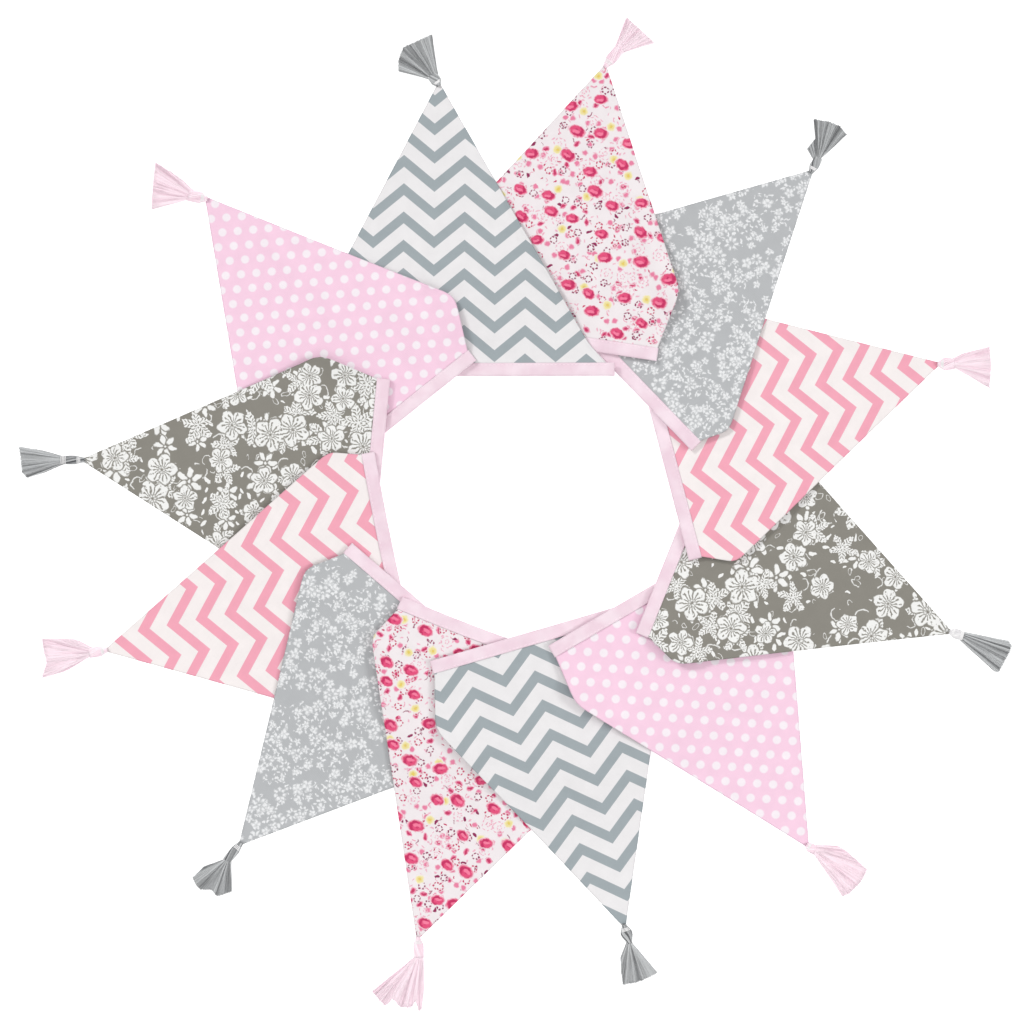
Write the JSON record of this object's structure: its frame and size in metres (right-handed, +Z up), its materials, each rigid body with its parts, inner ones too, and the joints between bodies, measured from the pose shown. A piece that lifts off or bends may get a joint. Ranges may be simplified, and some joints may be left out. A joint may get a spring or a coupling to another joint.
{
  "type": "fabric bunting",
  "caption": "Pennant bunting of printed cotton on a pale pink binding tape, laid flat as a closed ring with the points outwards and a tassel at each point.",
  "frame": {"origin": "on the surface that the bunting lies on, under the middle of its outline", "axes": "+Z up from the surface, +Y to the top of the laid-out ring as seen from above, +X to its right"},
  "size_m": [0.7518, 0.7516, 0.0162],
  "materials": {
    "chevron_grey": "matt printed cotton, off-white with a blue-grey chevron",
    "ditsy_pink": "matt printed cotton, white with small pink and crimson flowers",
    "sprig_grey": "matt printed cotton, light grey with small white sprigs",
    "chevron_pink": "matt printed cotton, off-white with a pink chevron",
    "floral_taupe": "matt printed cotton, dark taupe with white line-drawn flowers",
    "dots_pink": "matt printed cotton, pink with near-white dots",
    "tape_pink": "soft matt folded cotton binding, pale pink, stitched along its lip",
    "tassel_grey": "matt grey cotton strands",
    "tassel_pink": "matt pale pink cotton strands"
  },
  "bodies": {
    "root": {"flag_01_chevron_grey": "chevron_grey", "flag_02_ditsy_pink": "ditsy_pink", "flag_03_sprig_grey": "sprig_grey", "flag_04_chevron_pink": "chevron_pink", "flag_05_floral_taupe": "floral_taupe", "flag_06_dots_pink": "dots_pink", "flag_07_chevron_grey": "chevron_grey", "flag_08_ditsy_pink": "ditsy_pink", "flag_09_sprig_grey": "sprig_grey", "flag_10_chevron_pink": "chevron_pink", "flag_11_floral_taupe": "floral_taupe", "flag_12_dots_pink": "dots_pink", "tassel_01_grey": "tassel_grey", "tassel_02_pink": "tassel_pink", "tassel_03_grey": "tassel_grey", "tassel_04_pink": "tassel_pink", "tassel_05_grey": "tassel_grey", "tassel_06_pink": "tassel_pink", "tassel_07_grey": "tassel_grey", "tassel_08_pink": "tassel_pink", "tassel_09_grey": "tassel_grey", "tassel_10_pink": "tassel_pink", "tassel_11_grey": "tassel_grey", "tassel_12_pink": "tassel_pink", "binding_tape": "tape_pink"}
  },
  "joints": []
}
